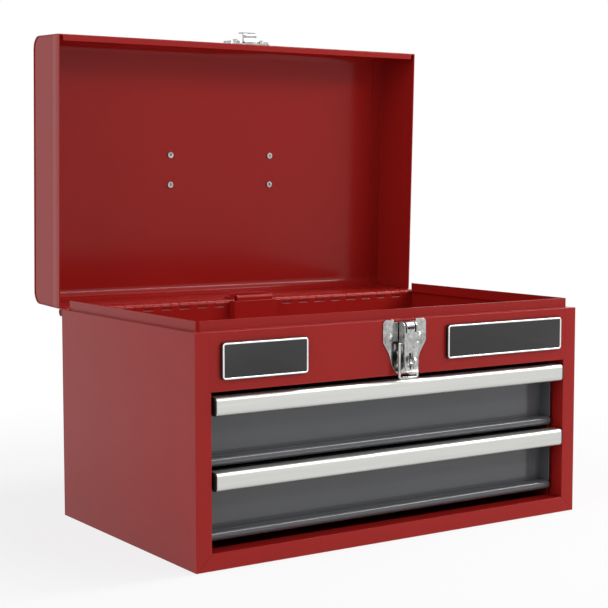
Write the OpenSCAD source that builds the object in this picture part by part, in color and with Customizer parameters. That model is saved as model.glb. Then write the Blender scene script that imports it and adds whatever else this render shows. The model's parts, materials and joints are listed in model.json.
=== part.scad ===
// Portable tool box: a sheet steel cabinet with a hinged lid over a till and two drawers on
// ball slides. Millimetres, +Z up, -Y at the front. The origin is the middle of the cabinet's
// base. The lid is drawn standing open, the drawers shut and the latch bail hanging.

/* [Cabinet] */
// Width over the side panels
cabinet_w = 380; // [360:1:420]
// Depth from the front frame to the back panel
cabinet_d = 231; // [225:1:260]
// Height of the rim ledge above the ground
cabinet_h = 179; // [178:1:186]
// Thickness of the sheet steel
sheet = 1; // [0.8:0.1:1.1]
// Face width of the front stiles
stile_w = 13.6; // [12:0.2:15]
// Face height of the bottom rail
rail_h = 13.1; // [12:0.1:15]
// Face height of the fascia over the drawers
fascia_h = 44.9; // [43:0.1:46]
// Height of the upstand above the rim ledge
upstand_h = 7.9; // [6:0.1:10]

/* [Lid] */
// Height of the lid from its rim to its top
lid_h = 52.7; // [45:0.1:60]
// Outside radius of the lid's two long bends
lid_bend_r = 11; // [8:1:14]
// How far the lid stands past the front of the cabinet
lid_overhang = 2.9; // [2:0.1:3.1]
// Width of the lip along the lid's front rim
lip_w = 5.5; // [4:0.5:5.5]
// Angle at which the lid stands open
lid_angle = 88.2; // [86:0.1:90]

/* [Hinge] */
// Radius of the hinge pin
pin_r = 2.5; // [2.3:0.1:2.6]
// Distance between two lid knuckles
knuckle_pitch = 18.4; // [18:0.1:19]
// Width of one lid knuckle
knuckle_w = 9.4; // [8:0.1:10]

/* [Drawers] */
// Distance from one drawer to the next
drawer_pitch = 56.5; // [55.5:0.1:57]
// Underside of the lower drawer
drawer_z = 19; // [18.5:0.1:21]
// Height of a drawer from its roll to the top of its pull
drawer_h = 54.7; // [53:0.1:54.8]
// Half width of a drawer front
front_x = 172; // [171:0.5:174]
// Outside half width of a drawer tray
tray_x = 163.1; // [162:0.1:164]
// Length of the slide members
slide_len = 190; // [185:1:192]
// How far a drawer pulls out
drawer_travel = 150; // [140:1:155]

/* [Latch and handle] */
// Diameter of the latch bail's wire
bail_d = 2.4; // [2:0.1:2.6]
// Distance between the two handle brackets
bracket_gap = 109; // [100:1:120]
// Diameter of the handle's rod
rod_d = 6; // [5:0.5:6]
// Reach of the handle from its pivot to its grip
handle_reach = 36; // [32:1:42]

/* [Hidden] */
$fn = 48;
red = [0.62, 0.12, 0.11];
grey = [0.32, 0.33, 0.34];
bright = [0.8, 0.8, 0.78];
zinc = [0.62, 0.64, 0.66];
black = [0.06, 0.06, 0.07];

// Cabinet
half_w = cabinet_w / 2;
half_d = cabinet_d / 2;
front_y = -half_d;
back_y = half_d;
wall_x = half_w - sheet;
opening_x = half_w - stile_w;
fascia_z = cabinet_h - fascia_h;
seam_gap = 0.2;
stile_return = 15;
ledge_side = 4.6;
ledge_front = 6;
upstand_x = half_w - ledge_side - sheet;
upstand_y = front_y + ledge_front;
upstand_top = cabinet_h + upstand_h;
corner_gap = 1.6;
face_gap = 0.05;
upstand_back = back_y - 6;
lap = 12;
till_z = fascia_z + 2.9;
till_flange = 12;

// Slide posts and slides
post_w = 14;
post_front_y = -98;
post_rear_y = 70;
post_x = opening_x - 0.9;
post_z = 11.5;
slide_h = 35;
slide_t = 1.2;
slide_y = -91.2;
slide_mid = 21.2;
runner_half = 12.5;
runner_depth = 7.4;
rail_lip = 9.5;
ball_r = 1.75;
ball_gap = 0.1;
cage_len = slide_len - drawer_travel;
cage_y = slide_y + drawer_travel / 2;
cage_t = 1;
cage_x = 171.4;
ball_z = (runner_half + slide_h / 2 - slide_t) / 2;
ball_x = post_x - 6.3;
ball_count = 4;

// Hinge
hinge_play = 0.08;
knuckle_bore = pin_r + hinge_play;
knuckle_r = knuckle_bore + sheet;
hinge_y = back_y - sheet + knuckle_r;
hinge_z = cabinet_h - 2.6;
hinge_half = half_w;
pin_recess = 0.3;
hinge_shift = 3.6;
knuckle_gap = 0.3;
knuckle_count = 9;
window_z = hinge_z - 3.1;
skirt_z = hinge_z + knuckle_r + 0.7;

// Lid, drawn shut and then turned open
lid_gap = 0.3;
rim_z = cabinet_h + lid_gap;
lid_top = rim_z + lid_h;
lid_front = front_y - lid_overhang;
lip_inset = 3.8;
lip_slant = 0.6;
end_flange = 12;
joggle = 0.6;
joggle_z = rim_z + 5.1;
joggle_run = 8.2;

// Lock bar
bar_x = 15;
bar_y = back_y - 7.5;
bar_t = 1.5;
bar_foot_z = 24;
bar_top = cabinet_h + 5;
cap_x = 19;
cap_t = 1.4;
cap_h = 6;
cap_r = 2.6;
cover_x = 23;
cover_y = back_y - 10;
hook_x = 10;
hook_reach = 8.5;
hook_tip = 4.4;
hook_rise = 5.4;
presser_y = back_y - sheet - 5;
presser_z = cabinet_h + 0.2;
spring_r = 2.7;
spring_wire = 0.8;
spring_turns = 9;
spring_steps = 8;

// Drawers
thin = 0.8;
web_y = front_y + 23.1;
flange_y = front_y + 11.2;
roll_h = 8;
roll_y = front_y + 10.5;
tray_back_y = 103;
tray_wall_h = 36.7;
pull_h = 14.1;
pull_proud = 2.5;
pull_edge = 3;
pull_depth = 9;
pull_t = 1.5;
cap_end_t = 0.8;
pull_x = 173.2;

// Badges
badge_t = 3.5;
badge_rim = 1.2;
badge_field = 0.5;
badge_r = 3;

// Latch
latch_shift = 2;
plate_y = front_y - sheet;
lever_roll = 3.9;
lever_pin_y = plate_y - 4.2;
lever_pin_z = cabinet_h - 5.4;
lever_y = lever_pin_y - lever_roll;
lever_t = 0.9;
lever_x = 6.4;
lever_foot = cabinet_h - 42.9;
lever_notch = 4.8;
latch_pin_r = 1.2;
latch_play = 0.05;
ear_x = 4.2;
ear_t = 1;
ear_gap = 0.3;
bail_y = lid_front - 2.9;
bail_z = cabinet_h - 19;
bail_len = 27.7;
bail_x = 8.9;
bail_r = bail_d / 2;
rivet_x = 14.3;
rivet_z = cabinet_h - 14;
rivet_r = 1.6;
rivet_head = 3.1;
eye_r = 2.4;
eye_out = 4;
eye_y = lever_y - eye_r - 0.2;
eye_z = cabinet_h - 33;
catch_x = 21;
catch_z = rim_z + 2;
catch_h = 19;
catch_rivet = 5;
catch_seat = bail_z + bail_len - bail_r - 0.1;
catch_hook_x = 6.6;
catch_reach = 11.2;
catch_boss = 2;
boss_x = 10.8;

// Handle, on the lid's top
handle_y = -2.6;
pivot_h = 7;
rod_r = rod_d / 2;
rod_play = 0.08;
bracket_w = 14;
bracket_l = 40;
barrel_r = 4.4;
handle_rivet = 13.8;
arm_x = 65;
bend_r = 8;

// Outline points with the corner at each point rounded by an arc
function unit2(v) = v / norm(v);
function corner_arc(p, c, q, r, steps) =
  let (u = unit2(p - c), v = unit2(q - c))
  let (half = acos(u * v) / 2, mid = c + unit2(u + v) * r / sin(half))
  let (s = c + u * r / tan(half) - mid, e = c + v * r / tan(half) - mid)
  let (a = atan2(s[1], s[0]), b = atan2(e[1], e[0]))
  let (turn = (b - a + 540) % 360 - 180)
  [for (i = [0:steps]) mid + r * [cos(a + turn * i / steps), sin(a + turn * i / steps)]];
function rounded(pts, radii, steps = 6) =
  let (n = len(pts))
  [for (i = [0:n - 1])
    each (radii[i] > 0
      ? corner_arc(pts[(i + n - 1) % n], pts[i], pts[(i + 1) % n], radii[i], steps)
      : [pts[i]])];
function same(n, r) = [for (i = [1:n]) r];

// A box given by two opposite corners
module block(low, high) {
  translate(low) cube(high - low);
}

// A flat outline drawn in Y and Z, carried along X
module along_x(low, high) {
  translate([low, 0, 0]) rotate([90, 0, 90]) linear_extrude(high - low) children();
}

// A flat outline drawn in X and Z, carried along Y
module along_y(low, high) {
  translate([0, high, 0]) rotate([90, 0, 0]) linear_extrude(high - low) children();
}

// A flat outline drawn in X and Y, carried along Z
module along_z(low, high) {
  translate([0, 0, low]) linear_extrude(high - low) children();
}

// A round bar along X
module rod_x(low, high, y, z, r) {
  translate([low, y, z]) rotate([0, 90, 0]) cylinder(h = high - low, r = r);
}

// A round bar along Y
module rod_y(low, high, x, z, r) {
  translate([x, high, z]) rotate([90, 0, 0]) cylinder(h = high - low, r = r);
}

// A copy on the left or on the right
module at_side(side) {
  mirror([side < 0 ? 1 : 0, 0, 0]) children();
}

// Everything on the lid turns about the hinge pin
module lid_open() {
  translate([0, hinge_y, hinge_z]) rotate([-lid_angle, 0, 0])
    translate([0, -hinge_y, -hinge_z]) children();
}

// ---- Cabinet ----

// Side panel with its front stile, rim ledge, upstand and back flange
module side_panel(side) {
  color(red) at_side(side) {
    block([wall_x, front_y, 0], [half_w, back_y - sheet, cabinet_h]);
    along_y(front_y, front_y + sheet)
      polygon([[half_w, 0], [half_w, cabinet_h], [opening_x + 1.6, cabinet_h],
        [opening_x + 1.6, fascia_z], [opening_x, fascia_z], [opening_x, rail_h]]);
    block([opening_x, front_y + sheet, rail_h + seam_gap],
      [opening_x + sheet, front_y + stile_return, fascia_z]);
    block([upstand_x, front_y + sheet, cabinet_h - sheet],
      [wall_x, back_y - sheet, cabinet_h]);
    block([upstand_x, upstand_y + corner_gap, cabinet_h],
      [upstand_x + sheet, upstand_back, upstand_top]);
    block([wall_x - lap, back_y - 2 * sheet, sheet], [wall_x, back_y - sheet, till_z]);
  }
}
module side_panel_left() {
  side_panel(-1);
}
module side_panel_right() {
  side_panel(1);
}

// Middle of each lid knuckle along the hinge
knuckle_mid = [for (i = [-knuckle_count:knuckle_count]) hinge_shift + i * knuckle_pitch];

// Rolled edge of the panel and of the lid round the pin
module knuckle_outline() {
  difference() {
    union() {
      translate([hinge_y, hinge_z]) circle(knuckle_r);
      children();
    }
    translate([hinge_y, hinge_z]) circle(knuckle_bore);
  }
}

// Back panel, with its top edge rolled into the fixed hinge knuckles
module back_panel() {
  slot = knuckle_w / 2 + knuckle_gap;
  color(red) difference() {
    union() {
      block([-half_w, back_y - sheet, 0], [half_w, back_y, window_z]);
      along_x(-hinge_half, hinge_half) knuckle_outline()
        translate([back_y - sheet, window_z - 1]) square([sheet, hinge_z - window_z + 1]);
    }
    for (x = knuckle_mid) {
      block([x - slot, back_y - 2 * sheet, window_z], [x + slot, back_y + 10, cabinet_h + 5]);
      block([x - slot, back_y, hinge_z - knuckle_r - knuckle_gap],
        [x + slot, back_y + 10, cabinet_h + 5]);
    }
    rod_x(-half_w, half_w, hinge_y, hinge_z, knuckle_bore);
  }
}

// Floor pan, folded up at the front into the bottom rail
module base_pan() {
  mitre = opening_x - seam_gap;
  mitre_foot = (sheet - seam_gap) * rail_h / stile_w;
  color(red) {
    block([-wall_x, front_y + sheet, 0], [wall_x, back_y - sheet, sheet]);
    along_y(front_y, front_y + sheet)
      polygon([[-wall_x, 0], [wall_x, 0], [wall_x, mitre_foot], [mitre, rail_h],
        [-mitre, rail_h], [-wall_x, mitre_foot]]);
    block([-mitre, front_y + sheet, rail_h - sheet],
      [mitre, front_y + stile_return, rail_h]);
    block([-opening_x, back_y - 2 * sheet, sheet], [opening_x, back_y - sheet, lap]);
    for (side = [-1, 1]) at_side(side)
      block([wall_x - sheet, post_front_y, sheet], [wall_x, back_y - 20, 10]);
  }
}

// Front panel over the drawers, with its share of the ledge and upstand
module front_fascia() {
  face_x = opening_x + 1.6 - face_gap;
  upstand_end = upstand_x - corner_gap;
  color(red) difference() {
    union() {
      block([-face_x, front_y, fascia_z], [face_x, front_y + sheet, cabinet_h]);
      block([-opening_x, front_y + sheet, fascia_z],
        [opening_x, front_y + lap, fascia_z + sheet]);
      block([-upstand_x, front_y + sheet, cabinet_h - sheet],
        [upstand_x, upstand_y + sheet, cabinet_h]);
      block([-upstand_end, upstand_y, cabinet_h],
        [upstand_end, upstand_y + sheet, upstand_top]);
    }
    for (side = [-1, 1])
      rod_y(front_y - 1, front_y + 3, latch_shift + side * rivet_x, rivet_z, rivet_r);
  }
}

// Floor of the till under the lid, folded up against the four walls
module till_tray() {
  front = front_y + sheet;
  back = back_y - 2 * sheet;
  color(red) difference() {
    union() {
      block([-wall_x, front, till_z], [wall_x, back, till_z + sheet]);
      for (side = [-1, 1]) at_side(side)
        block([wall_x - sheet, front, till_z], [wall_x, back, till_z + till_flange]);
      block([-opening_x, front, till_z], [opening_x, front + sheet, till_z + till_flange]);
      block([-wall_x, back - sheet, till_z], [wall_x, back, till_z + till_flange]);
    }
    block([-cap_x - 1, bar_y - 1.2, till_z - 1], [cap_x + 1, back + 1, till_z + 20]);
    block([-cover_x - seam_gap, back - sheet - 1, till_z + sheet],
      [cover_x + seam_gap, back + 1, till_z + 20]);
  }
}

// Upright channel that carries the slides off the side wall
module slide_post(side, y) {
  color(red) at_side(side) along_z(post_z, till_z) difference() {
    translate([post_x, y]) square([wall_x - post_x, post_w]);
    translate([post_x + sheet, y + sheet]) square([wall_x - post_x, post_w - 2 * sheet]);
  }
}
module slide_post_front_left() {
  slide_post(-1, post_front_y);
}
module slide_post_front_right() {
  slide_post(1, post_front_y);
}
module slide_post_rear_left() {
  slide_post(-1, post_rear_y);
}
module slide_post_rear_right() {
  slide_post(1, post_rear_y);
}

// ---- Slides ----

// Fixed slide member: a channel open towards the drawer, with its edges turned in
module slide_rail(side, level) {
  mid = drawer_z + slide_mid + level * drawer_pitch;
  half = slide_h / 2;
  color(zinc) at_side(side) along_y(slide_y, slide_y + slide_len) translate([0, mid]) {
    translate([post_x - slide_t, -half]) square([slide_t, slide_h]);
    for (end = [0, 1]) mirror([0, end]) {
      translate([post_x - rail_lip, half - slide_t]) square([rail_lip, slide_t]);
      translate([post_x - rail_lip, half - 2.4]) square([slide_t, 2.4]);
    }
  }
}
module slide_rail_top_left() {
  slide_rail(-1, 1);
}
module slide_rail_top_right() {
  slide_rail(1, 1);
}
module slide_rail_bottom_left() {
  slide_rail(-1, 0);
}
module slide_rail_bottom_right() {
  slide_rail(1, 0);
}

// Moving slide member on the drawer's side
module slide_runner(side, level) {
  mid = drawer_z + slide_mid + level * drawer_pitch;
  inner = runner_half - slide_t;
  color(zinc) at_side(side) along_y(slide_y, slide_y + slide_len) translate([tray_x, mid])
    difference() {
      translate([0, -runner_half]) square([runner_depth, 2 * runner_half]);
      translate([slide_t, -inner]) square([runner_depth, 2 * inner]);
    }
}

// Ball cage between the two members, with its balls loose in their pockets
module ball_cage(side, level) {
  mid = drawer_z + slide_mid + level * drawer_pitch;
  step = cage_len / ball_count;
  balls = [for (i = [0:ball_count - 1]) cage_y + step * (i + 0.5)];
  color(zinc) at_side(side) {
    difference() {
      along_y(cage_y, cage_y + cage_len) translate([0, mid]) {
        translate([cage_x, -ball_z - cage_t / 2]) square([cage_t, 2 * ball_z + cage_t]);
        for (end = [0, 1]) mirror([0, end])
          translate([ball_x - 2.4, ball_z - cage_t / 2])
            square([cage_x - ball_x + 2.4 + cage_t, cage_t]);
      }
      for (y = balls)
        translate([ball_x, y, mid - slide_h]) cylinder(h = 2 * slide_h, r = ball_r + ball_gap);
    }
    for (y = balls) for (end = [-1, 1])
      translate([ball_x, y, mid + end * ball_z]) sphere(ball_r, $fn = 24);
  }
}
module ball_cage_top_left() {
  ball_cage(-1, 1);
}
module ball_cage_top_right() {
  ball_cage(1, 1);
}
module ball_cage_bottom_left() {
  ball_cage(-1, 0);
}
module ball_cage_bottom_right() {
  ball_cage(1, 0);
}

// ---- Drawers ----

// Tray of one drawer
module drawer_tray(level) {
  z = drawer_z + level * drawer_pitch;
  color(grey) difference() {
    block([-tray_x, web_y + thin, z], [tray_x, tray_back_y, z + tray_wall_h]);
    block([-tray_x + thin, web_y, z + thin],
      [tray_x - thin, tray_back_y - thin, z + tray_wall_h + 1]);
  }
}

// Front of one drawer: a recessed web between side flanges, over a rolled lower edge
module drawer_front(level) {
  z = drawer_z + level * drawer_pitch;
  roll_r = roll_h / 2;
  inner_r = roll_r - thin;
  top_z = z + drawer_h - pull_t;
  color(grey) {
    along_x(-front_x, front_x) {
      translate([web_y, z]) square([thin, drawer_h - pull_t]);
      difference() {
        union() {
          translate([roll_y + roll_r, z + roll_r]) circle(roll_r);
          translate([roll_y + roll_r, z]) square([web_y - roll_y - roll_r, roll_h]);
        }
        translate([roll_y + roll_r, z + roll_r]) circle(inner_r);
        translate([roll_y + roll_r, z + thin])
          square([web_y - roll_y - roll_r, roll_h - 2 * thin]);
      }
    }
    block([-pull_x, front_y + 3, top_z - thin], [pull_x, web_y, top_z]);
    for (side = [-1, 1]) at_side(side)
      block([front_x - thin, flange_y, z + roll_h], [front_x, web_y, top_z]);
  }
}

// Section of the pull: a flat face with rounded edges and a short lip behind it
module pull_outline(z0) {
  face = front_y - pull_proud;
  back = front_y + pull_depth;
  polygon(rounded([[face, z0], [face, z0 + pull_h], [back, z0 + pull_h],
    [back, z0 + pull_h / 3], [front_y + 3.4, z0]], [pull_edge, pull_edge, 0, 0, 0]));
}

// Aluminium pull along the top of one drawer front
module drawer_pull(level) {
  z0 = drawer_z + drawer_h - pull_h + level * drawer_pitch;
  color(bright) along_x(-pull_x, pull_x) difference() {
    pull_outline(z0);
    translate([front_y - pull_proud + pull_t, z0 + pull_t])
      square([pull_depth + 3, pull_h - 2 * pull_t]);
    translate([front_y + 2.9, z0 - 1]) square([pull_depth, pull_h + 1 - pull_t]);
  }
}

// Plastic caps that close the two ends of a pull
module pull_caps(level) {
  z0 = drawer_z + drawer_h - pull_h + level * drawer_pitch;
  color(black) for (side = [-1, 1]) at_side(side)
    along_x(pull_x, pull_x + cap_end_t) pull_outline(z0);
}
module drawer_tray_top() {
  drawer_tray(1);
}
module drawer_front_top() {
  drawer_front(1);
}
module drawer_pull_top() {
  drawer_pull(1);
}
module pull_caps_top() {
  pull_caps(1);
}
module slide_runner_top_left() {
  slide_runner(-1, 1);
}
module slide_runner_top_right() {
  slide_runner(1, 1);
}
module drawer_tray_bottom() {
  drawer_tray(0);
}
module drawer_front_bottom() {
  drawer_front(0);
}
module drawer_pull_bottom() {
  drawer_pull(0);
}
module pull_caps_bottom() {
  pull_caps(0);
}
module slide_runner_bottom_left() {
  slide_runner(-1, 0);
}
module slide_runner_bottom_right() {
  slide_runner(1, 0);
}

// ---- Hinge and lid ----

// Pin through all the knuckles
module hinge_pin() {
  color(zinc) rod_x(-hinge_half + pin_recess, hinge_half - pin_recess, hinge_y, hinge_z, pin_r);
}

// Section of the lid: square at the rim, rounded at its two long bends
module lid_outline(inset) {
  r = lid_bend_r - inset;
  low = lid_front + inset;
  high = back_y - inset;
  polygon(rounded([[low, rim_z], [high, rim_z], [high, lid_top - inset],
    [low, lid_top - inset]], [0, 0, r, r], 10));
}

// Lid sheet bent over the front, top and back, and rolled into the moving hinge knuckles
module lid_wrap() {
  tab = knuckle_w / 2;
  color(red) lid_open() difference() {
    union() {
      along_x(-half_w, half_w) difference() {
        lid_outline(0);
        lid_outline(sheet);
        translate([lid_front + sheet, rim_z - 1]) square([cabinet_d, 2]);
      }
      along_z(rim_z, rim_z + sheet)
        polygon([[-half_w + lip_inset, lid_front], [half_w - lip_inset, lid_front],
          [half_w - lip_inset - lip_slant, lid_front + lip_w],
          [-half_w + lip_inset + lip_slant, lid_front + lip_w]]);
      for (x = knuckle_mid)
        along_x(x - tab, x + tab) knuckle_outline()
          translate([back_y - sheet, hinge_z]) square([sheet, skirt_z + 1 - hinge_z]);
    }
    for (i = [0:len(knuckle_mid)]) {
      low = i == 0 ? -half_w - 1 : knuckle_mid[i - 1] + tab;
      high = i == len(knuckle_mid) ? half_w + 1 : knuckle_mid[i] - tab;
      block([low, back_y - 2 * sheet, hinge_z - 5], [high, back_y + 1, skirt_z]);
    }
    for (side = [-1, 1]) {
      rod_y(lid_front - 1, lid_front + 3, latch_shift + side * rivet_x,
        catch_z + catch_rivet, rivet_r);
      for (end = [-1, 1])
        translate([side * bracket_gap / 2, handle_y + end * handle_rivet, lid_top - 3])
          cylinder(h = 5, r = rivet_r);
    }
  }
}

// End of the lid, with a joggled rim and a flange that laps inside the wrap
module lid_end(side) {
  face_x = half_w - joggle;
  color(red) lid_open() at_side(side) {
    intersection() {
      along_x(wall_x - joggle, half_w) lid_outline(sheet);
      along_y(lid_front, back_y)
        polygon([[wall_x, rim_z], [half_w, rim_z], [half_w, joggle_z],
          [face_x, joggle_z + joggle_run], [face_x, lid_top],
          [face_x - sheet, lid_top], [face_x - sheet, joggle_z + joggle_run],
          [wall_x, joggle_z]]);
    }
    along_x(wall_x - end_flange, wall_x - joggle) difference() {
      lid_outline(sheet);
      lid_outline(2 * sheet);
      translate([lid_front, rim_z - 1])
        square([cabinet_d + 2, joggle_z + joggle_run + 1 - rim_z]);
    }
  }
}
module lid_end_left() {
  lid_end(-1);
}
module lid_end_right() {
  lid_end(1);
}

// ---- Drawer lock ----

// Section of the bar's top, rolled over and open below
module cap_outline() {
  front = bar_y - 0.6;
  back = back_y - 2.5;
  low = bar_top - cap_h;
  difference() {
    polygon(rounded([[front, low], [back, low], [back, bar_top], [front, bar_top]],
      [0, 0, cap_r, cap_r]));
    polygon(rounded([[front + cap_t, low - 1], [back - cap_t, low - 1],
      [back - cap_t, bar_top - cap_t], [front + cap_t, bar_top - cap_t]],
      [0, 0, cap_r - cap_t, cap_r - cap_t]));
  }
}

// Sliding bar behind the drawers, pushed down by the shut lid
module lock_bar() {
  color(red) {
    block([-bar_x, bar_y, bar_foot_z], [bar_x, bar_y + bar_t, bar_top - cap_t]);
    along_x(-cap_x, cap_x) cap_outline();
    block([-6, bar_y - 1, bar_foot_z], [6, back_y - 2, bar_foot_z + 1.2]);
    for (level = [0, 1]) {
      rim = drawer_z + tray_wall_h + level * drawer_pitch;
      block([-hook_x, bar_y - hook_reach, rim + hook_rise],
        [hook_x, bar_y, rim + hook_rise + 1.2]);
      block([-hook_x, bar_y - hook_reach, rim + hook_rise - hook_tip],
        [hook_x, bar_y - hook_reach + 1.2, rim + hook_rise]);
    }
  }
}

// Cover that guides the top of the bar in the till
module lock_cover() {
  color(red) along_z(till_z + sheet, cabinet_h - 0.2) difference() {
    translate([-cover_x, cover_y]) square([2 * cover_x, back_y - sheet - cover_y]);
    translate([-cover_x + sheet, cover_y + sheet])
      square([2 * cover_x - 2 * sheet, back_y - cover_y]);
  }
}

// Strap that guides the bar behind the drawers
module lock_keeper() {
  low = drawer_z + drawer_pitch + 4;
  color(zinc) along_z(low, low + 10) difference() {
    translate([-bar_x - 3, bar_y - 1.8]) square([2 * bar_x + 6, back_y - sheet - bar_y + 1.8]);
    translate([-bar_x - 1.5, bar_y - 0.5]) square([2 * bar_x + 3, back_y - bar_y]);
  }
}

// Return spring under the bar: rings of points carried up a helix
module lock_spring() {
  sides = 6;
  n = spring_turns * spring_steps;
  low = sheet + spring_wire / 2;
  rise = bar_foot_z - low - spring_wire / 2;
  ring = [for (i = [0:n]) for (j = [0:sides - 1])
    let (turn = 360 * i / spring_steps, a = 360 * j / sides)
    let (r = spring_r + spring_wire / 2 * cos(a))
    [r * cos(turn), back_y - 5.4 + r * sin(turn),
      low + rise * i / n + spring_wire / 2 * sin(a)]];
  skin = [for (i = [0:n - 1]) for (j = [0:sides - 1])
    let (k = (j + 1) % sides, a = i * sides)
    each [[a + j, a + sides + k, a + k], [a + j, a + sides + j, a + sides + k]]];
  ends = [[for (j = [0:sides - 1]) j], [for (j = [0:sides - 1]) n * sides + sides - 1 - j]];
  color(zinc) polyhedron(points = ring, faces = concat(skin, ends), convexity = 10);
}

// Tab inside the lid that pushes the bar down
module lock_presser() {
  color(red) lid_open() {
    block([-cap_x, presser_y, presser_z], [cap_x, back_y - sheet, presser_z + 1.2]);
    block([-cap_x, back_y - 2 * sheet, presser_z + 1.2],
      [cap_x, back_y - sheet, presser_z + 10]);
  }
}

// ---- Latch ----

// The latch stands a little right of the middle
module at_latch() {
  translate([latch_shift, 0, 0]) children();
}

// Shield shaped plate with two ears for the lever's pin
module latch_plate() {
  top = cabinet_h;
  half = [[11, top - 2], [11, top], [21.5, top], [21.5, top - 18], [15.5, top - 27.5],
    [12.5, top - 37.5], [8, top - 43.5]];
  turned = [for (i = [len(half) - 1:-1:0]) [-half[i][0], half[i][1]]];
  radii = [0.5, 0.5, 3.5, 3, 8, 10, 4];
  back_radii = [for (i = [len(radii) - 1:-1:0]) radii[i]];
  color(bright) at_latch() difference() {
    union() {
      along_y(plate_y, front_y)
        polygon(rounded(concat(half, turned), concat(radii, back_radii)));
      for (side = [-1, 1]) at_side(side)
        along_x(ear_x, ear_x + ear_t) polygon([[plate_y, lever_pin_z - 4.5],
          [lever_pin_y - 2.2, lever_pin_z - 2.2], [lever_pin_y - 2.2, lever_pin_z + 2.2],
          [plate_y, lever_pin_z + 4.5]]);
    }
    rod_x(-8, 8, lever_pin_y, lever_pin_z, latch_pin_r);
    for (side = [-1, 1]) rod_y(plate_y - 1, front_y + 1, side * rivet_x, rivet_z, rivet_r);
  }
}

// Eye for a padlock, standing out through the lever's slot
module latch_staple() {
  color(bright) at_latch() along_x(-1, 1) difference() {
    union() {
      translate([eye_y, eye_z]) circle(eye_out);
      translate([eye_y, eye_z - eye_out]) square([plate_y - eye_y, 2 * eye_out]);
    }
    translate([eye_y, eye_z]) circle(eye_r);
  }
}

// Pin of the lever
module latch_pin() {
  color(bright) at_latch()
    rod_x(-lever_x - 0.3, lever_x + 0.3, lever_pin_y, lever_pin_z, latch_pin_r);
}

// One rivet along Y: a domed head outside and a hollow tail inside
module rivet_y(x, z, face, inside) {
  translate([x, face, z]) rotate([90, 0, 0]) {
    intersection() {
      translate([0, 0, -2.4]) sphere(4);
      cylinder(h = 3, r = rivet_head);
    }
    translate([0, 0, face - inside]) cylinder(h = inside - face, r = rivet_r);
  }
  rod_y(inside, inside + 1.2, x, z, 2.3);
}
module latch_rivets() {
  color(bright) at_latch() for (side = [-1, 1])
    rivet_y(side * rivet_x, rivet_z, plate_y, front_y + sheet);
}

// Section of the lever: a flat web and a tongue that flares out at the foot
module lever_outline() {
  out = lever_y;
  polygon([[out, lever_pin_z], [out, lever_foot + 10], [out - 0.6, lever_foot + 6],
    [out - 1.9, lever_foot + 2], [out - 3.2, lever_foot], [out - 2.7, lever_foot - 0.6],
    [out - 1.3, lever_foot + 1.6], [out + 0.3, lever_foot + 5.8],
    [out + lever_t, lever_foot + 10], [out + lever_t, lever_pin_z]]);
}

// Hand lever of the latch: its top rolls over the pin between the ears
module latch_lever() {
  flange_foot = bail_z - 9;
  flange_back = plate_y - 0.9;
  roll_x = ear_x - ear_gap;
  color(bright) at_latch() difference() {
    union() {
      intersection() {
        along_x(-lever_x, lever_x) lever_outline();
        along_y(lever_y - 8, front_y) polygon(rounded([[-lever_x, cabinet_h],
          [-lever_x, lever_foot - 1], [lever_x, lever_foot - 1], [lever_x, cabinet_h]],
          [0, 6, 6, 0], 8));
      }
      along_x(-roll_x, roll_x) intersection() {
        difference() {
          translate([lever_pin_y, lever_pin_z]) circle(lever_roll);
          translate([lever_pin_y, lever_pin_z]) circle(lever_roll - lever_t);
        }
        translate([lever_y, lever_pin_z - 0.1]) square([lever_roll + 1.5, lever_roll + 1]);
      }
      for (side = [-1, 1]) at_side(side) along_x(lever_x - lever_t, lever_x) {
        translate([lever_pin_y, lever_pin_z]) circle(lever_roll - 0.3);
        polygon([[lever_y + lever_t / 2, lever_pin_z], [flange_back, lever_pin_z],
          [flange_back, bail_z - 2], [lever_y + lever_t / 2, flange_foot]]);
      }
    }
    rod_x(-8, 8, lever_pin_y, lever_pin_z, latch_pin_r + latch_play);
    rod_x(-8, 8, bail_y, bail_z, bail_r + latch_play);
    block([-2, lever_y - 8, eye_z - 6.2], [2, lever_y + 3, eye_z + 6.5]);
    block([-3.3, lever_y - 2, lever_pin_z - 2.2], [3.3, lever_y + lever_t + 0.1,
      lever_pin_z - 0.2]);
    for (side = [-1, 1]) at_side(side)
      block([roll_x, lever_y - 1, lever_pin_z - lever_notch],
        [lever_x - lever_t, lever_y + lever_t + 0.1, cabinet_h]);
  }
}

// Wire bail that hooks over the catch
module latch_bail() {
  foot = bail_z - bail_len;
  turn = 2;
  color(bright) at_latch() {
    for (side = [-1, 1]) at_side(side) {
      rod_x(lever_x - lever_t - 0.4, bail_x, bail_y, bail_z, bail_r);
      translate([bail_x, bail_y, bail_z]) sphere(bail_r);
      translate([bail_x, bail_y, foot + turn]) cylinder(h = bail_len - turn, r = bail_r);
      translate([bail_x - turn, bail_y, foot + turn]) rotate([90, 0, 0]) rotate([0, 0, -90])
        rotate_extrude(angle = 90) translate([turn, 0]) circle(bail_r);
    }
    rod_x(-bail_x + turn, bail_x - turn, bail_y, foot, bail_r);
  }
}

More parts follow.
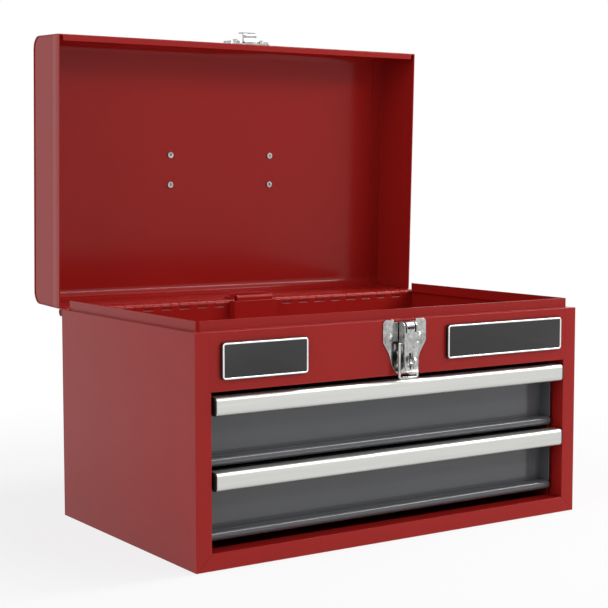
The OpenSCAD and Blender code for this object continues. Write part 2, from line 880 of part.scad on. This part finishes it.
// Catch on the lid's front: a plate with a hook that opens away from the rim
module latch_catch() {
  out = lid_front;
  color(bright) lid_open() at_latch() difference() {
    union() {
      along_y(out - 1, out)
        polygon(rounded([[-catch_x, catch_z], [catch_x, catch_z],
          [catch_x, catch_z + catch_h], [-catch_x, catch_z + catch_h]], same(4, 3)));
      for (side = [-1, 1]) at_side(side) along_y(out - 1 - catch_boss, out)
        polygon(rounded([[boss_x, catch_z + 1], [catch_x - 1, catch_z + 1],
          [catch_x - 1, catch_z + catch_h - 1], [boss_x, catch_z + catch_h - 1]],
          same(4, 2.5)));
      along_x(-catch_hook_x, catch_hook_x) polygon([[out - 0.5, catch_seat - 4.6],
        [out - 5, catch_seat - 4.2], [out - 8.5, catch_seat - 3],
        [out - catch_reach + 0.4, catch_seat - 0.6], [out - catch_reach, catch_seat + 1.6],
        [out - catch_reach, catch_seat + 6.6], [out - catch_reach + 1.2, catch_seat + 6.6],
        [out - catch_reach + 1.3, catch_seat + 1.5], [out - 8.8, catch_seat],
        [out - 0.5, catch_seat]]);
    }
    for (side = [-1, 1])
      rod_y(out - 2 - catch_boss, out + 1, side * rivet_x, catch_z + catch_rivet, rivet_r);
  }
}
module catch_rivets() {
  color(bright) lid_open() at_latch() for (side = [-1, 1])
    rivet_y(side * rivet_x, catch_z + catch_rivet, lid_front - 1 - catch_boss,
      lid_front + sheet);
}

// ---- Carrying handle ----

// Saddle with a barrel for one end of the handle
module handle_bracket(side) {
  pivot = lid_top + pivot_h;
  mid = side * bracket_gap / 2;
  half = bracket_w / 2;
  color(bright) lid_open() difference() {
    union() {
      along_z(lid_top, lid_top + 1.2)
        polygon(rounded([[mid - half, handle_y - bracket_l / 2],
          [mid + half, handle_y - bracket_l / 2], [mid + half, handle_y + bracket_l / 2],
          [mid - half, handle_y + bracket_l / 2]], same(4, 5)));
      rod_x(mid - half, mid + half, handle_y, pivot, barrel_r);
      block([mid - half, handle_y - barrel_r, lid_top + 0.5],
        [mid + half, handle_y + barrel_r, pivot]);
    }
    rod_x(mid - half - 1, mid + half + 1, handle_y, pivot, rod_r + rod_play);
    for (end = [-1, 1])
      translate([mid, handle_y + end * handle_rivet, lid_top - 1])
        cylinder(h = 4, r = rivet_r);
  }
}
module handle_bracket_left() {
  handle_bracket(-1);
}
module handle_bracket_right() {
  handle_bracket(1);
}

// Four rivets of the brackets, with hollow tails inside the lid
module handle_rivets() {
  face = lid_top + 1.2;
  color(bright) lid_open() for (side = [-1, 1]) for (end = [-1, 1])
    translate([side * bracket_gap / 2, handle_y + end * handle_rivet, 0]) difference() {
      union() {
        translate([0, 0, face]) intersection() {
          translate([0, 0, -2.4]) sphere(4);
          cylinder(h = 3, r = rivet_head);
        }
        translate([0, 0, lid_top - sheet]) cylinder(h = sheet + 1.2, r = rivet_r);
        translate([0, 0, lid_top - sheet - 1.4]) cylinder(h = 1.4, r = 2.8);
      }
      translate([0, 0, lid_top - sheet - 2]) cylinder(h = 2.2, r = 1.3);
    }
}

// Bent rod of the handle, folded flat towards the hinge
module handle_bail() {
  pivot = lid_top + pivot_h;
  far_y = handle_y + handle_reach;
  inner = bracket_gap / 2 - bracket_w / 2 - 1.5;
  color(bright) lid_open() {
    for (side = [-1, 1]) at_side(side) {
      rod_x(inner, arm_x, handle_y, pivot, rod_r);
      translate([arm_x, handle_y, pivot]) sphere(rod_r);
      rod_y(handle_y, far_y - bend_r, arm_x, pivot, rod_r);
      translate([arm_x - bend_r, far_y - bend_r, pivot])
        rotate_extrude(angle = 90) translate([bend_r, 0]) circle(rod_r);
    }
    rod_x(-arm_x + bend_r, arm_x - bend_r, far_y, pivot, rod_r);
  }
}

// Plastic grip on the handle
module handle_grip() {
  pivot = lid_top + pivot_h;
  far_y = handle_y + handle_reach;
  color(black) lid_open() along_x(-43, 43) difference() {
    union() {
      for (end = [-1, 1]) translate([far_y + end * 3.5, pivot]) circle(5.5);
      translate([far_y - 3.5, pivot - 5.5]) square([7, 11]);
    }
    translate([far_y, pivot]) circle(rod_r);
  }
}

// ---- Badges ----

// Plain plate with a raised border
module badge(x, z, w, h) {
  outer = [[x, z], [x + w, z], [x + w, z + h], [x, z + h]];
  inner = [[x + badge_rim, z + badge_rim], [x + w - badge_rim, z + badge_rim],
    [x + w - badge_rim, z + h - badge_rim], [x + badge_rim, z + h - badge_rim]];
  color(black) difference() {
    along_y(front_y - badge_t, front_y) polygon(rounded(outer, same(4, badge_r)));
    along_y(front_y - badge_t - 1, front_y - badge_t + badge_field)
      polygon(rounded(inner, same(4, badge_r - badge_rim)));
  }
}
module badge_left() {
  badge(-168.6, cabinet_h - 36.3, 76.6, 28.2);
}
module badge_right() {
  badge(44.8, cabinet_h - 35.1, 125.9, 28.2);
}

side_panel_left();
side_panel_right();
back_panel();
base_pan();
front_fascia();
till_tray();
slide_post_front_left();
slide_post_front_right();
slide_post_rear_left();
slide_post_rear_right();
slide_rail_top_left();
slide_rail_top_right();
slide_rail_bottom_left();
slide_rail_bottom_right();
hinge_pin();
badge_left();
badge_right();
latch_plate();
latch_staple();
latch_pin();
latch_rivets();
lock_cover();
lock_keeper();
lock_spring();
lock_bar();
lid_wrap();
lid_end_left();
lid_end_right();
lock_presser();
latch_catch();
catch_rivets();
handle_bracket_left();
handle_bracket_right();
handle_rivets();
handle_bail();
handle_grip();
latch_lever();
latch_bail();
drawer_tray_top();
drawer_front_top();
drawer_pull_top();
pull_caps_top();
slide_runner_top_left();
slide_runner_top_right();
ball_cage_top_left();
ball_cage_top_right();
drawer_tray_bottom();
drawer_front_bottom();
drawer_pull_bottom();
pull_caps_bottom();
slide_runner_bottom_left();
slide_runner_bottom_right();
ball_cage_bottom_left();
ball_cage_bottom_right();
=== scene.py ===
"""Looks of a portable tool box: painted sheet steel, brushed pulls and a bright draw latch.

All lengths are in metres."""

import json
import math

import bmesh
import bpy
import numpy as np
from mathutils import Matrix, Vector

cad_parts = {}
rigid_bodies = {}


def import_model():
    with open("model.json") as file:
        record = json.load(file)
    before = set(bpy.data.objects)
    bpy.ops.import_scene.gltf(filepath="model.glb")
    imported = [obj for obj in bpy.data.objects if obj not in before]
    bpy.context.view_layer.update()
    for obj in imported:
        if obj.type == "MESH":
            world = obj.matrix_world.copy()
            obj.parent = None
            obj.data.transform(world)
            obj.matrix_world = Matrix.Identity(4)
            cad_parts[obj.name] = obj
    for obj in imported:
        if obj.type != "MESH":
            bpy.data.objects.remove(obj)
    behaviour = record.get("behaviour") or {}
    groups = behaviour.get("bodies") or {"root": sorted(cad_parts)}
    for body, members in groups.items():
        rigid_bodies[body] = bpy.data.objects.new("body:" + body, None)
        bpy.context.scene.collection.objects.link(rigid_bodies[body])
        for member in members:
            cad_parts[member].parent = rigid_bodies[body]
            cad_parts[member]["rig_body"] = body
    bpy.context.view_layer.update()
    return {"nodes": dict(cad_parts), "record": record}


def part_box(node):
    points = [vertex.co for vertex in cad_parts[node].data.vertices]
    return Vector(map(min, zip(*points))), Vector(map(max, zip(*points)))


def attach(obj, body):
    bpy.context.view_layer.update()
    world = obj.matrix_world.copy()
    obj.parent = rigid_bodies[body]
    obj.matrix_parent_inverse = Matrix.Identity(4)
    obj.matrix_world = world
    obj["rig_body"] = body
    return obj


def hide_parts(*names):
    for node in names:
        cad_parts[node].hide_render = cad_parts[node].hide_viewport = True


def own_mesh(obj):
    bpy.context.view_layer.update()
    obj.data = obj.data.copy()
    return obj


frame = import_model()
BODY_OF = {n: o["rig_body"] for n, o in frame["nodes"].items()}
SLOT_OF = {r["node"]: r["material_slot"] for r in frame["record"]["subparts"]}

# Sheet steel and its folds: the radius, and how much of it outer and inner folds get; the
# shortest fold, and the least mean width of a flat beside one; and the height from which inner
# folds are rounded too.
SHEET = 0.001
FOLD, OUTER_SHARE, INNER_SHARE = 0.0019, 0.5, 1.0
SHORTEST_FOLD, LEAST_FLAT = 0.006, 1.8 * SHEET
INNER_FOLDS_FROM = 0.1785

# What is rolled off the edges of large and of small pieces.
ROLLED_EDGE, FINE_EDGE = 0.0003, 0.0002

# Points closer than this are one. Faces that turn by fewer degrees than FLAT are one flat, edges
# that turn by more than SHARP or MADE_SHARP stay sharp, and those past CORNER are rolled over.
SAME_POINT, SAME_MADE_POINT = 2e-6, 1e-7
FLAT, SHARP, MADE_SHARP, CORNER = 0.6, 28, 35, 40

# The point that the lamps look at, and how far the floor lies under the box and reaches.
BOX_MIDDLE = Vector((0, 0, 0.2))
FLOOR_DROP, FLOOR_REACH = 0.0004, 9

# The pieces by how they are dressed. dress_all() says what each set gets.
MADE_APART = {"badge_left", "badge_right", "handle_grip", "lock_spring"}
ROUND = {"latch_pin", "handle_bail", "latch_bail"}
FINE = {"latch_plate", "latch_lever", "latch_staple", "latch_catch"}
FINE |= {"pull_caps_top", "pull_caps_bottom", "handle_bracket_left", "handle_bracket_right"}
FOLDED = {"side_panel_left", "side_panel_right", "front_fascia", "base_pan", "back_panel"}
FOLDED |= {"lid_end_left", "lid_end_right", "lock_cover"}
FOLDED |= {"drawer_front_top", "drawer_front_bottom", "drawer_tray_top", "drawer_tray_bottom"}


# ---- Camera ----


def aim_camera():
    """Camera at the photograph's place: it stands front left of the box and looks slightly down."""
    place = Vector((-0.71666, -1.04696, 0.29319))
    azimuth, down, roll = math.radians(-33.745), math.radians(4.973), math.radians(-0.024)
    back = Vector(
        (
            math.sin(azimuth) * math.cos(down),
            -math.cos(azimuth) * math.cos(down),
            math.sin(down),
        )
    )
    right = (-back).cross(Vector((0, 0, 1))).normalized()
    up = right.cross(-back)
    across = right * math.cos(roll) + up * math.sin(roll)
    over = up * math.cos(roll) - right * math.sin(roll)
    lens = bpy.data.cameras.new("studio_camera")
    lens.lens, lens.sensor_width = 87.267, 36
    lens.clip_start, lens.clip_end = 0.05, 20
    camera = bpy.data.objects.new("studio_camera", lens)
    turn = Matrix((across, over, back)).transposed().to_4x4()
    camera.matrix_world = Matrix.Translation(place) @ turn
    bpy.context.scene.collection.objects.link(camera)
    bpy.context.scene.camera = camera


# ---- Shader maths ----


class Wire:
    """A socket in a finish, on which Python's operators add Math nodes."""

    def __init__(self, finish, socket):
        self.finish, self.socket = finish, socket

    def _maths(self, operation, first, second):
        return self.finish.add("ShaderNodeMath", {"operation": operation}, {0: first, 1: second})

    def __add__(self, other):
        return self._maths("ADD", self, other)

    def __radd__(self, other):
        return self._maths("ADD", other, self)

    def __sub__(self, other):
        return self._maths("SUBTRACT", self, other)

    def __rsub__(self, other):
        return self._maths("SUBTRACT", other, self)

    def __mul__(self, other):
        return self._maths("MULTIPLY", self, other)

    def __rmul__(self, other):
        return self._maths("MULTIPLY", other, self)


class Finish:
    """The node tree of a material or of the world, cleared and then built up with add()."""

    def __init__(self, owner):
        self.owner = owner
        owner.use_nodes = True
        self.tree = owner.node_tree
        self.tree.nodes.clear()

    def add(self, kind, settings=None, sockets=None, out=0):
        """Any node, from its type, its settings, and its sockets' values or links. It gives a
        wire on the output that is asked for, and one on each where several are."""
        node = self.tree.nodes.new(kind)
        for key, value in (settings or {}).items():
            setattr(node, key, value)
        for key, value in (sockets or {}).items():
            if isinstance(value, Wire):
                self.tree.links.new(value.socket, node.inputs[key])
            else:
                node.inputs[key].default_value = value
        if isinstance(out, tuple):
            return [Wire(self, node.outputs[each]) for each in out]
        return Wire(self, node.outputs[out]) if len(node.outputs) else None

    def place(self):
        return self.add("ShaderNodeTexCoord", out="Object")

    def stretched(self, scale):
        return self.add("ShaderNodeMapping", {}, {"Vector": self.place(), "Scale": scale})

    def noise(self, scale, detail, rough=0.55, vector=None):
        sockets = {
            "Vector": vector or self.place(),
            "Scale": scale,
            "Detail": detail,
            "Roughness": rough,
        }
        return self.add("ShaderNodeTexNoise", {}, sockets, "Fac")

    def blend(self, factor, low, high):
        """Mix of two colours, which are the colour mixer's inputs 6 and 7, and its output 2."""
        sockets = {"Factor": factor, 6: (*low, 1), 7: (*high, 1)}
        return self.add("ShaderNodeMix", {"data_type": "RGBA"}, sockets, 2)

    def bump(self, height, distance, strength):
        sockets = {"Height": height, "Distance": distance, "Strength": strength}
        return self.add("ShaderNodeBump", {}, sockets)

    def close(self, sockets):
        """Ends a material with a Principled shader and gives the material."""
        shader = self.add("ShaderNodeBsdfPrincipled", {}, sockets)
        self.add("ShaderNodeOutputMaterial", {}, {"Surface": shader})
        return self.owner


def srgb(*levels):
    """Linear colour of a screen colour given as three levels from 0 to 255."""
    return tuple(
        v / 255 / 12.92 if v <= 10 else ((v / 255 + 0.055) / 1.055) ** 2.4 for v in levels
    )


# ---- Finishes ----


def powder_coat(name, low, high, rough, gloss):
    """Sprayed coat: slow drift between two close shades, and a fine orange peel in the gloss."""
    coat = Finish(bpy.data.materials.new(name))
    drift = coat.noise(14, detail=2)
    peel = coat.noise(380, detail=3, rough=0.5)
    return coat.close(
        {
            "Base Color": coat.blend(drift, low, high),
            "Roughness": rough + (coat.noise(45, detail=4) - 0.5) * 0.1,
            "Specular IOR Level": gloss,
            "Normal": coat.bump(peel, distance=0.00006, strength=0.35),
        }
    )


def brushed(name, low, high, rough):
    """Metal drawn lengthways along X: long streaks in its tone, its gloss and its relief."""
    metal = Finish(bpy.data.materials.new(name))
    streak = metal.noise(1, detail=4, rough=0.6, vector=metal.stretched((9, 2600, 2600)))
    return metal.close(
        {
            "Base Color": metal.blend(streak, low, high),
            "Metallic": 1.0,
            "Roughness": rough + (streak - 0.5) * 0.2,
            "Normal": metal.bump(streak, distance=0.00003, strength=0.25),
        }
    )


def plated(name, low, high, rough, grain, painted_reflection_and_shade=0.0):
    """Plated steel: a tone that is uneven in grains. The last argument paints reflection and shade:
    larger random clouds of tone that stand in for reflections, and painted shade by facing, darker,
    least on what faces left or to the front, and most on what faces right or back."""
    metal = Finish(bpy.data.materials.new(name))
    rubbed = metal.noise(grain, detail=4)
    facing = metal.add("ShaderNodeTexCoord", out="Normal")
    to_right, to_back = metal.add("ShaderNodeSeparateXYZ", {}, {0: facing}, ("X", "Y"))
    # Painted shade: faces turned right or back are made darker, and all a little darker.
    lit = to_back * -0.3 - to_right * 0.3 - 0.2
    # Painted reflection: large clouds of tone that stand in for what the metal reflects.
    reflection_clouds = metal.noise(grain * 0.4, detail=2, rough=0.5)
    tone = rubbed + ((reflection_clouds - 0.5) * 1.1 + lit) * painted_reflection_and_shade
    scratches = metal.noise(grain * 5, detail=2)
    return metal.close(
        {
            "Base Color": metal.blend(tone, low, high),
            "Metallic": 1.0,
            "Roughness": rough + (rubbed - 0.5) * 0.22,
            "Normal": metal.bump(scratches, distance=0.00004, strength=0.2),
        }
    )


def moulded(name, low, high, rough, grain):
    """Moulded plastic with a fine spark-eroded grain."""
    plastic = Finish(bpy.data.materials.new(name))
    return plastic.close(
        {
            "Base Color": plastic.blend(plastic.noise(30, detail=3), low, high),
            "Roughness": rough + (plastic.noise(160, detail=3) - 0.5) * 0.12,
            "Normal": plastic.bump(plastic.noise(grain, detail=2), distance=0.00005, strength=0.3),
        }
    )


FINISHES = {
    "red_paint": powder_coat(
        "red_coat", srgb(153, 29, 26), srgb(160, 32, 28), rough=0.18, gloss=0.18
    ),
    "grey_paint": powder_coat(
        "grey_coat", srgb(84, 85, 88), srgb(91, 92, 95), rough=0.13, gloss=0.5
    ),
    "brushed_aluminium": brushed(
        "drawn_aluminium", srgb(186, 186, 183), srgb(218, 218, 214), rough=0.42
    ),
    # Bright steel: its wide range of tone and its last argument carry painted reflection and
    # painted shade.
    "bright_steel": plated(
        "nickel_plate", srgb(80, 80, 81), srgb(218, 218, 215), rough=0.14, grain=240, painted_reflection_and_shade=0.8
    ),
    "zinc_steel": plated(
        "zinc_plate", srgb(168, 172, 178), srgb(196, 199, 203), rough=0.34, grain=160
    ),
    "black_plastic": moulded(
        "black_moulding", srgb(24, 24, 26), srgb(33, 33, 35), rough=0.42, grain=1500
    ),
    "badge_black": moulded(
        "badge_field", srgb(20, 20, 22), srgb(30, 30, 32), rough=0.3, grain=2200
    ),
}
SILVER_EDGE = plated("badge_border", srgb(226, 226, 226), srgb(240, 240, 240), rough=0.3, grain=300)
# The hinge pin is given a near-black tone.
DARK_PIN = plated("dark_pin", srgb(34, 30, 30), srgb(52, 46, 46), rough=0.4, grain=300)


# ---- Pieces ----


def settle(thing, body, slot, finish=None):
    """Puts a finished mesh on its body, with the material of its slot or the finish that is given.
    """
    thing.data.materials.clear()
    thing.data.materials.append(finish or FINISHES[slot])
    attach(thing, body)
    return thing


def smooth(mesh, sharp_from):
    """Shades a mesh smoothly, apart from edges that turn by more degrees than given."""
    mesh.polygons.foreach_set("use_smooth", [True] * len(mesh.polygons))
    mesh.set_sharp_from_angle(angle=math.radians(sharp_from))


def mark_bends(solid, inner_from):
    """Weights the edges where a sheet is folded by about a right angle: both faces beside them are
    wider than the sheet is thick, where a face's mean width is twice its area over its perimeter.
    Outer folds all count, inner ones only above the given height, and those are rounder."""
    weight = solid.edges.layers.float.new("bevel_weight_edge")
    for edge in solid.edges:
        if len(edge.link_faces) != 2 or edge.calc_length() < SHORTEST_FOLD:
            continue
        widths = [2 * face.calc_area() / face.calc_perimeter() for face in edge.link_faces]
        if min(widths) <= LEAST_FLAT:
            continue
        turn = math.degrees(edge.calc_face_angle_signed())
        if 60 < turn < 120:
            edge[weight] = OUTER_SHARE
        elif -120 < turn < -60 and min(v.co.z for v in edge.verts) > inner_from:
            edge[weight] = INNER_SHARE


def bevel(thing, name, width, segments, limit):
    """A bevel modifier that is limited by weight, or by an angle that the caller sets."""
    edge = thing.modifiers.new(name, "BEVEL")
    edge.width, edge.segments, edge.limit_method = width, segments, limit
    edge.use_clamp_overlap = True
    return edge


def dressed(node, width, folded=False, inner_from=math.inf, finish=None):
    """Copy of a sheet or turned piece: its flats are merged, its folds rounded where it has any,
    and what is left of its sharp edges is rolled over by the width."""
    mesh = frame["nodes"][node].data.copy()
    solid = bmesh.new()
    solid.from_mesh(mesh)
    bmesh.ops.remove_doubles(solid, verts=solid.verts, dist=SAME_POINT)
    bmesh.ops.dissolve_limit(
        solid, angle_limit=math.radians(FLAT), verts=solid.verts, edges=solid.edges
    )
    if folded:
        mark_bends(solid, inner_from)
    solid.to_mesh(mesh)
    solid.free()
    smooth(mesh, SHARP)
    thing = bpy.data.objects.new(node + "_dressed", mesh)
    bpy.context.scene.collection.objects.link(thing)
    if folded:
        bevel(thing, "sheet_fold", FOLD, segments=4, limit="WEIGHT")
    if width:
        edge = bevel(thing, "rolled_edge", width, segments=2, limit="ANGLE")
        edge.angle_limit = math.radians(CORNER)
    even = thing.modifiers.new("even_shading", "WEIGHTED_NORMAL")
    even.mode, even.weight, even.keep_sharp = "FACE_AREA", 80, True
    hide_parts(node)
    return settle(thing, BODY_OF[node], SLOT_OF[node], finish)


def skin(name, grid, closed_u=False, closed_v=False, caps=()):
    """Mesh of a grid of points, u by v: each quad joins a point to its neighbours in the next row
    and column. A cap closes the first or last row with one face."""
    rows, cols = grid.shape[:2]
    row = np.arange(rows if closed_u else rows - 1)
    col = np.arange(cols if closed_v else cols - 1)
    row, col = np.meshgrid(row, col, indexing="ij")
    here, above = row * cols, (row + 1) % rows * cols
    beside = (col + 1) % cols
    quads = np.stack([here + col, here + beside, above + beside, above + col], -1)
    faces = quads.reshape(-1, 4).tolist()
    for cap in caps:
        start = (cap % rows) * cols
        faces.append(list(range(start, start + cols)))
    mesh = bpy.data.meshes.new(name)
    mesh.from_pydata(grid.reshape(-1, 3).tolist(), [], faces)
    solid = bmesh.new()
    solid.from_mesh(mesh)
    bmesh.ops.remove_doubles(solid, verts=solid.verts, dist=SAME_MADE_POINT)
    bmesh.ops.recalc_face_normals(solid, faces=solid.faces)
    solid.to_mesh(mesh)
    solid.free()
    smooth(mesh, MADE_SHARP)
    thing = bpy.data.objects.new(name, mesh)
    bpy.context.scene.collection.objects.link(thing)
    return thing


def corner_loop(half_w, half_h, radius, steps=10):
    """Rounded rectangle: four quarter circles, each about a point one radius inside its corner."""
    turn = np.linspace(0, math.pi / 2, steps)
    quarter = np.arange(4)[:, None]
    angle = (turn[None, :] + quarter * math.pi / 2).ravel()
    sign_x = np.repeat(np.array([1, -1, -1, 1]), steps)
    sign_z = np.repeat(np.array([1, 1, -1, -1]), steps)
    x = sign_x * (half_w - radius) + radius * np.cos(angle)
    z = sign_z * (half_h - radius) + radius * np.sin(angle)
    return np.stack([x, z], -1)


def badge(node):
    """Plain name plate: rounded rectangles from its back to a flat field just below its top, and
    a border along its edge, which is a ridge with a low round section. Over half a turn the
    ridge's inset grows as one minus the cosine, and its height as the square root of the sine."""
    low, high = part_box(node)
    middle = (low + high) / 2
    half_w, half_h = (high.x - low.x) / 2, (high.z - low.z) / 2
    depth = high.y - low.y
    ridge, ridge_half_width, edge_inset = 0.0008, 0.0007, 0.0004
    field_inset, field_below_top = 0.0009, 0.0006
    corner, least_corner = 0.003, 0.0006

    def ring(inset, out):
        loop = corner_loop(half_w - inset, half_h - inset, max(corner - inset, least_corner))
        y = np.full(len(loop), high.y - out)
        return np.stack([middle.x + loop[:, 0], y, middle.z + loop[:, 1]], -1)

    plate = np.stack(
        [ring(0.0, 0.0), ring(0.0, depth - ridge), ring(field_inset, depth - field_below_top)]
    )
    field = skin(node + "_field", plate, closed_v=True, caps=(0, -1))
    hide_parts(node)
    settle(field, BODY_OF[node], SLOT_OF[node])
    swell = np.linspace(0, math.pi, 9)
    inset = edge_inset + ridge_half_width * (1 - np.cos(swell))
    out = depth - ridge + ridge * np.sin(swell) ** 0.5
    bands = np.stack([ring(i, o) for i, o in zip(inset, out)])
    border = skin(node + "_border", bands, closed_u=True, closed_v=True)
    settle(border, BODY_OF[node], SLOT_OF[node], SILVER_EDGE)


def hand_grip(node):
    """Moulded grip along X. Its section is the curve where the cubes of |y| and |z| add up to one.
    That is scaled by a taper with the fourth power of the way from the middle, by a wave with
    hollows for the fingers, and near each end by a quarter ellipse that closes it in part."""
    low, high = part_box(node)
    middle = (low + high) / 2
    half = (high - low) / 2
    tapered, hollowed, last_hollow, closing, least = 0.16, 0.045, 0.94, 0.05, 0.45
    along = np.linspace(-1, 1, 97)[:, None]
    around = np.linspace(0, 2 * math.pi, 48, endpoint=False)[None, :]
    way = np.abs(along)
    taper = 1 - tapered * along**4
    waves = 1 - hollowed * (0.5 + 0.5 * np.cos(along * math.pi * 4)) * (way < last_hollow)
    end = np.sqrt(np.clip(1 - np.clip((way - (1 - closing)) / closing, 0, 1) ** 2, 0.0, 1))
    size = taper * waves * (least + (1 - least) * end)
    cosine, sine = np.cos(around), np.sin(around)
    oval = 1 / (np.abs(cosine) ** 3 + np.abs(sine) ** 3) ** (1 / 3)
    y = middle.y + half.y * size * oval * cosine
    z = middle.z + half.z * size * oval * sine
    x = middle.x + half.x * along + 0 * around
    grip = skin(node + "_moulded", np.stack([x, y, z], -1), closed_v=True, caps=(0, -1))
    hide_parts(node)
    settle(grip, BODY_OF[node], SLOT_OF[node])


def dress_spring():
    """The lock spring gets a copy with no rolled edge, on a mesh of its own. It keeps its foot and
    flattens as the lock bar goes down by 5 mm, which nothing here makes it do.
    """
    spring = dressed("lock_spring", 0)
    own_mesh(spring)


def dress_all():
    """Sheet pieces get rounded folds and rolled edges, small parts a finer edge, round parts none
    and all others a rolled edge. The lid's sheet keeps its inner folds sharp, because its tabs
    lie close to other pieces."""
    for node in sorted(set(frame["nodes"]) - MADE_APART):
        if node == "hinge_pin":
            dressed(node, 0, finish=DARK_PIN)
        elif node in ROUND or node.startswith("ball_cage") or node.endswith("rivets"):
            dressed(node, 0)
        elif node in FINE:
            dressed(node, FINE_EDGE)
        elif node == "lid_wrap":
            dressed(node, ROLLED_EDGE, folded=True)
        elif node in FOLDED:
            dressed(node, ROLLED_EDGE, folded=True, inner_from=INNER_FOLDS_FROM)
        else:
            dressed(node, ROLLED_EDGE)
    dress_spring()
    badge("badge_left")
    badge("badge_right")
    hand_grip("handle_grip")


# ---- Studio ----


def background_ray(finish):
    """One for rays that look at the background: from the camera, off gloss, or through glass."""
    kinds = ("Is Camera Ray", "Is Glossy Ray", "Is Transmission Ray")
    camera, gloss, glass = finish.add("ShaderNodeLightPath", out=kinds)
    return camera + gloss + glass


def studio_floor():
    """Pale floor: it keeps the box's shadow close by and fades to plain white further out. Its
    sockets 1 and 2 of the fade are distances, 3 and 4 the share of white at them."""
    ground = Finish(bpy.data.materials.new("studio_floor"))
    lit = ground.add("ShaderNodeBsdfDiffuse", {}, {"Color": (0.86, 0.86, 0.86, 1)})
    white = ground.add("ShaderNodeEmission", {}, {"Color": (1, 1, 1, 1), "Strength": 1.0})
    away = ground.add("ShaderNodeVectorMath", {"operation": "LENGTH"}, {0: ground.place()}, "Value")
    fade = ground.add(
        "ShaderNodeMapRange",
        {"interpolation_type": "SMOOTHSTEP"},
        {"Value": away, 1: 0.3, 2: 0.75, 3: 0.8, 4: 1.0},
    )
    share = background_ray(ground) * fade
    mixed = ground.add("ShaderNodeMixShader", {}, {0: share, 1: lit, 2: white})
    ground.add("ShaderNodeOutputMaterial", {}, {"Surface": mixed})
    far = FLOOR_REACH
    corners = [(-far, -far, 0), (far, -far, 0), (far, far, 0), (-far, far, 0)]
    mesh = bpy.data.meshes.new("studio_floor")
    mesh.from_pydata(corners, [], [(0, 1, 2, 3)])
    mesh.materials.append(ground.owner)
    floor = bpy.data.objects.new("studio_floor", mesh)
    bpy.context.scene.collection.objects.link(floor)
    floor.location.z = -FLOOR_DROP


def studio_sky(level):
    """Even pale sky that lights the box at a low level and shows white behind it."""
    world = bpy.data.worlds.new("studio_sky")
    bpy.context.scene.world = world
    air = Finish(world)
    sky = air.add("ShaderNodeBackground", {}, {0: (1, 1, 1, 1), 1: level})
    white = air.add("ShaderNodeBackground", {}, {0: (1, 1, 1, 1), 1: 1.0})
    mixed = air.add("ShaderNodeMixShader", {}, {0: background_ray(air), 1: sky, 2: white})
    air.add("ShaderNodeOutputWorld", {}, {"Surface": mixed})


def lamp(name, place, size, power, deep=None):
    """Soft lamp, square or as deep as given, that looks at the middle of the box."""
    light = bpy.data.lights.new(name, "AREA")
    light.shape, light.energy = "RECTANGLE", power
    light.size, light.size_y = size, deep or size
    thing = bpy.data.objects.new(name, light)
    thing.location = place
    look = BOX_MIDDLE - Vector(place)
    thing.rotation_euler = look.to_track_quat("-Z", "Y").to_euler()
    bpy.context.scene.collection.objects.link(thing)


def studio():
    """Floor, sky and soft lamps. The two strips draw the bright lines along the folds."""
    studio_floor()
    studio_sky(level=0.28)
    lamp("front_strip", (1.15, -1.25, 1.1), size=1.6, power=14, deep=0.2)
    lamp("left_panel", (-2.2, -0.6, 1.0), size=1.3, power=17)
    lamp("overhead_strip", (1.3, -0.25, 1.9), size=0.32, power=25, deep=1.7)
    lamp("low_front_panel", (0.3, -2.6, 0.6), size=1.2, power=4)
    lamp("right_panel", (2.2, -0.6, 1.3), size=1.2, power=6)


aim_camera()
dress_all()
studio()
bpy.context.scene.view_settings.view_transform = "Standard"
